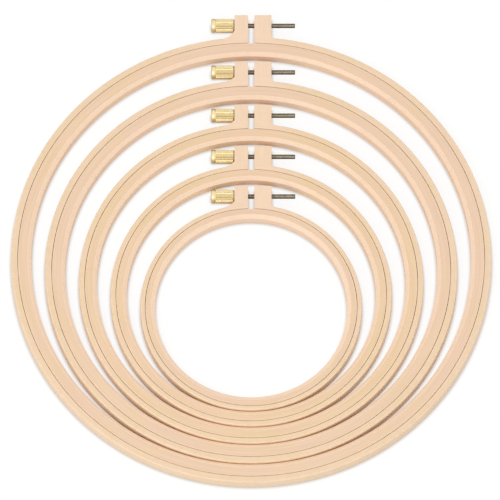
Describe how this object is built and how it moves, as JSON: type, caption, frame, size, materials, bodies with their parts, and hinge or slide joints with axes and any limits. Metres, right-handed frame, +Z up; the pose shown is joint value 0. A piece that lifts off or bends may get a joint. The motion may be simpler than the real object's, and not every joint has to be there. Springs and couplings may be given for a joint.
{
  "type": "embroidery hoop set",
  "caption": "Nested set of round moulded embroidery hoops, each a split outer ring with a knurled brass clamp screw round a plain inner ring.",
  "frame": {"origin": "midway between the ends of the largest hoop's lugs and its far side, midway across it, on the plane the hoops lie on", "axes": "+Z up, square to the hoops; +Y towards the clamps; +X along the clamp screws, from knob to free end"},
  "size_m": [0.2954, 0.31, 0.0088],
  "materials": {
    "outer_ring_plastic": "satin moulded plastic",
    "inner_ring_plastic": "satin moulded plastic",
    "knob_brass": "bright knurled brass",
    "washer_brass": "plain brass sheet",
    "screw_steel": "dark oiled threaded steel",
    "nut_steel": "plated steel"
  },
  "bodies": {
    "hoop_1_frame": {"hoop_1_outer_ring": "outer_ring_plastic", "hoop_1_nut": "nut_steel"},
    "hoop_1_inner": {"hoop_1_inner_ring": "inner_ring_plastic"},
    "hoop_1_carriage": {"hoop_1_washer": "washer_brass"},
    "hoop_1_screw": {"hoop_1_clamp_screw": "screw_steel", "hoop_1_knob": "knob_brass"},
    "hoop_2_frame": {"hoop_2_outer_ring": "outer_ring_plastic", "hoop_2_nut": "nut_steel"},
    "hoop_2_inner": {"hoop_2_inner_ring": "inner_ring_plastic"},
    "hoop_2_carriage": {"hoop_2_washer": "washer_brass"},
    "hoop_2_screw": {"hoop_2_clamp_screw": "screw_steel", "hoop_2_knob": "knob_brass"},
    "hoop_3_frame": {"hoop_3_outer_ring": "outer_ring_plastic", "hoop_3_nut": "nut_steel"},
    "hoop_3_inner": {"hoop_3_inner_ring": "inner_ring_plastic"},
    "hoop_3_carriage": {"hoop_3_washer": "washer_brass"},
    "hoop_3_screw": {"hoop_3_clamp_screw": "screw_steel", "hoop_3_knob": "knob_brass"},
    "hoop_4_frame": {"hoop_4_outer_ring": "outer_ring_plastic", "hoop_4_nut": "nut_steel"},
    "hoop_4_inner": {"hoop_4_inner_ring": "inner_ring_plastic"},
    "hoop_4_carriage": {"hoop_4_washer": "washer_brass"},
    "hoop_4_screw": {"hoop_4_clamp_screw": "screw_steel", "hoop_4_knob": "knob_brass"},
    "hoop_5_frame": {"hoop_5_outer_ring": "outer_ring_plastic", "hoop_5_nut": "nut_steel"},
    "hoop_5_inner": {"hoop_5_inner_ring": "inner_ring_plastic"},
    "hoop_5_carriage": {"hoop_5_washer": "washer_brass"},
    "hoop_5_screw": {"hoop_5_clamp_screw": "screw_steel", "hoop_5_knob": "knob_brass"}
  },
  "joints": [
    {"name": "hoop_1_inner_lift", "type": "slide", "parent": "hoop_1_frame", "child": "hoop_1_inner", "axis": [0, 0, 1], "range_m": [0, 0.03]},
    {"name": "hoop_1_screw_feed", "type": "slide", "parent": "hoop_1_frame", "child": "hoop_1_carriage", "axis": [1, 0, 0], "range_m": [-0.003, 0]},
    {"name": "hoop_1_knob_turn", "type": "hinge", "parent": "hoop_1_carriage", "child": "hoop_1_screw", "pos_m": [0, 0.14945, 0.00445], "axis": [1, 0, 0], "range_deg": [-2160, 0]},
    {"name": "hoop_2_lift", "type": "slide", "parent": "hoop_1_frame", "child": "hoop_2_frame", "axis": [0, 0, 1], "range_m": [0, 0.04]},
    {"name": "hoop_2_inner_lift", "type": "slide", "parent": "hoop_2_frame", "child": "hoop_2_inner", "axis": [0, 0, 1], "range_m": [0, 0.03]},
    {"name": "hoop_2_screw_feed", "type": "slide", "parent": "hoop_2_frame", "child": "hoop_2_carriage", "axis": [1, 0, 0], "range_m": [-0.003, 0]},
    {"name": "hoop_2_knob_turn", "type": "hinge", "parent": "hoop_2_carriage", "child": "hoop_2_screw", "pos_m": [0, 0.11815, 0.00445], "axis": [1, 0, 0], "range_deg": [-2160, 0]},
    {"name": "hoop_3_lift", "type": "slide", "parent": "hoop_1_frame", "child": "hoop_3_frame", "axis": [0, 0, 1], "range_m": [0, 0.04]},
    {"name": "hoop_3_inner_lift", "type": "slide", "parent": "hoop_3_frame", "child": "hoop_3_inner", "axis": [0, 0, 1], "range_m": [0, 0.03]},
    {"name": "hoop_3_screw_feed", "type": "slide", "parent": "hoop_3_frame", "child": "hoop_3_carriage", "axis": [1, 0, 0], "range_m": [-0.003, 0]},
    {"name": "hoop_3_knob_turn", "type": "hinge", "parent": "hoop_3_carriage", "child": "hoop_3_screw", "pos_m": [0, 0.08915, 0.00445], "axis": [1, 0, 0], "range_deg": [-2160, 0]},
    {"name": "hoop_4_lift", "type": "slide", "parent": "hoop_1_frame", "child": "hoop_4_frame", "axis": [0, 0, 1], "range_m": [0, 0.04]},
    {"name": "hoop_4_inner_lift", "type": "slide", "parent": "hoop_4_frame", "child": "hoop_4_inner", "axis": [0, 0, 1], "range_m": [0, 0.03]},
    {"name": "hoop_4_screw_feed", "type": "slide", "parent": "hoop_4_frame", "child": "hoop_4_carriage", "axis": [1, 0, 0], "range_m": [-0.003, 0]},
    {"name": "hoop_4_knob_turn", "type": "hinge", "parent": "hoop_4_carriage", "child": "hoop_4_screw", "pos_m": [0, 0.06165, 0.00445], "axis": [1, 0, 0], "range_deg": [-2160, 0]},
    {"name": "hoop_5_lift", "type": "slide", "parent": "hoop_1_frame", "child": "hoop_5_frame", "axis": [0, 0, 1], "range_m": [0, 0.04]},
    {"name": "hoop_5_inner_lift", "type": "slide", "parent": "hoop_5_frame", "child": "hoop_5_inner", "axis": [0, 0, 1], "range_m": [0, 0.03]},
    {"name": "hoop_5_screw_feed", "type": "slide", "parent": "hoop_5_frame", "child": "hoop_5_carriage", "axis": [1, 0, 0], "range_m": [-0.003, 0]},
    {"name": "hoop_5_knob_turn", "type": "hinge", "parent": "hoop_5_carriage", "child": "hoop_5_screw", "pos_m": [0, 0.03515, 0.00445], "axis": [1, 0, 0], "range_deg": [-2160, 0]}
  ],
  "couplings": [
    {"joint": "hoop_1_knob_turn", "follows": "hoop_1_screw_feed", "rad_per_m": 12566},
    {"joint": "hoop_2_knob_turn", "follows": "hoop_2_screw_feed", "rad_per_m": 12566},
    {"joint": "hoop_3_knob_turn", "follows": "hoop_3_screw_feed", "rad_per_m": 12566},
    {"joint": "hoop_4_knob_turn", "follows": "hoop_4_screw_feed", "rad_per_m": 12566},
    {"joint": "hoop_5_knob_turn", "follows": "hoop_5_screw_feed", "rad_per_m": 12566}
  ]
}
